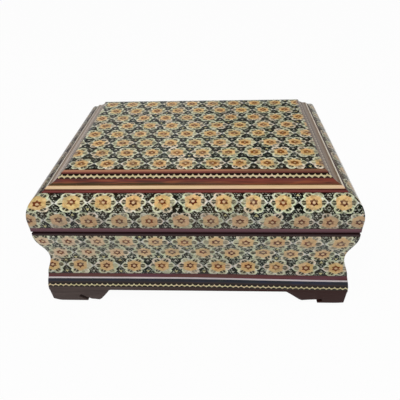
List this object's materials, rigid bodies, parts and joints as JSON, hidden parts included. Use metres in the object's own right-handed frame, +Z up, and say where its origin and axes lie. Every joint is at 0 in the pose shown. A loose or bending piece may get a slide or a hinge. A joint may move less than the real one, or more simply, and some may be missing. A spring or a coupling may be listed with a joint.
{
  "type": "inlaid jewelry box",
  "caption": "Hinged wooden jewelry box with marquetry-inlaid bulged lid, stepped frame, ogee sides and bracket feet, lined in velvet.",
  "frame": {"origin": "centre of the overall footprint, hinge knuckles included, on the surface that the feet stand on", "axes": "+X along the box's length, +Y towards the hinged back, +Z up"},
  "size_m": [0.184, 0.148, 0.085],
  "materials": {
    "khatam_veneer": "khatam marquetry sheet, lacquered",
    "moulding_wood": "red-brown hardwood with a zigzag inlay, lacquered",
    "pale_line": "pale boxwood line, lacquered",
    "rail_wood": "dark red stained hardwood, lacquered",
    "carcass_wood": "stained hardwood, satin",
    "plinth_bands": "red, white and navy bands with a zigzag inlay, lacquered",
    "foot_wood": "dark brown hardwood, matte",
    "velvet": "deep red velvet",
    "brass": "drawn brass, lightly worn"
  },
  "bodies": {
    "base": {"base_floor": "carcass_wood", "base_floor_lining": "velvet", "base_lining_back": "velvet", "base_lining_front": "velvet", "base_lining_left": "velvet", "base_lining_right": "velvet", "base_plinth_back": "plinth_bands", "base_plinth_front": "plinth_bands", "base_plinth_left": "plinth_bands", "base_plinth_right": "plinth_bands", "base_veneer_back": "khatam_veneer", "base_veneer_front": "khatam_veneer", "base_veneer_left": "khatam_veneer", "base_veneer_right": "khatam_veneer", "base_wall_back": "carcass_wood", "base_wall_front": "carcass_wood", "base_wall_left": "carcass_wood", "base_wall_right": "carcass_wood", "foot_back_left_long": "foot_wood", "foot_back_left_short": "foot_wood", "foot_back_right_long": "foot_wood", "foot_back_right_short": "foot_wood", "foot_front_left_long": "foot_wood", "foot_front_left_short": "foot_wood", "foot_front_right_long": "foot_wood", "foot_front_right_short": "foot_wood", "hinge_left_base_leaf": "brass", "hinge_left_base_screw_a": "brass", "hinge_left_base_screw_b": "brass", "hinge_left_pin": "brass", "hinge_right_base_leaf": "brass", "hinge_right_base_screw_a": "brass", "hinge_right_base_screw_b": "brass", "hinge_right_pin": "brass"},
    "lid": {"hinge_left_lid_leaf": "brass", "hinge_left_lid_screw_a": "brass", "hinge_left_lid_screw_b": "brass", "hinge_right_lid_leaf": "brass", "hinge_right_lid_screw_a": "brass", "hinge_right_lid_screw_b": "brass", "lid_field_veneer": "khatam_veneer", "lid_line_back": "pale_line", "lid_line_front": "pale_line", "lid_line_left": "pale_line", "lid_line_right": "pale_line", "lid_lining": "velvet", "lid_moulding_back": "moulding_wood", "lid_moulding_front": "moulding_wood", "lid_moulding_left": "moulding_wood", "lid_moulding_right": "moulding_wood", "lid_panel": "carcass_wood", "lid_rail_back": "rail_wood", "lid_rail_front": "rail_wood", "lid_rail_left": "rail_wood", "lid_rail_right": "rail_wood", "lid_veneer_back": "khatam_veneer", "lid_veneer_front": "khatam_veneer", "lid_veneer_left": "khatam_veneer", "lid_veneer_right": "khatam_veneer"}
  },
  "joints": [
    {"name": "lid_hinge", "type": "hinge", "parent": "base", "child": "lid", "pos_m": [0, 0.07193, 0.0554], "axis": [-1, 0, 0], "range_deg": [0, 100]}
  ]
}
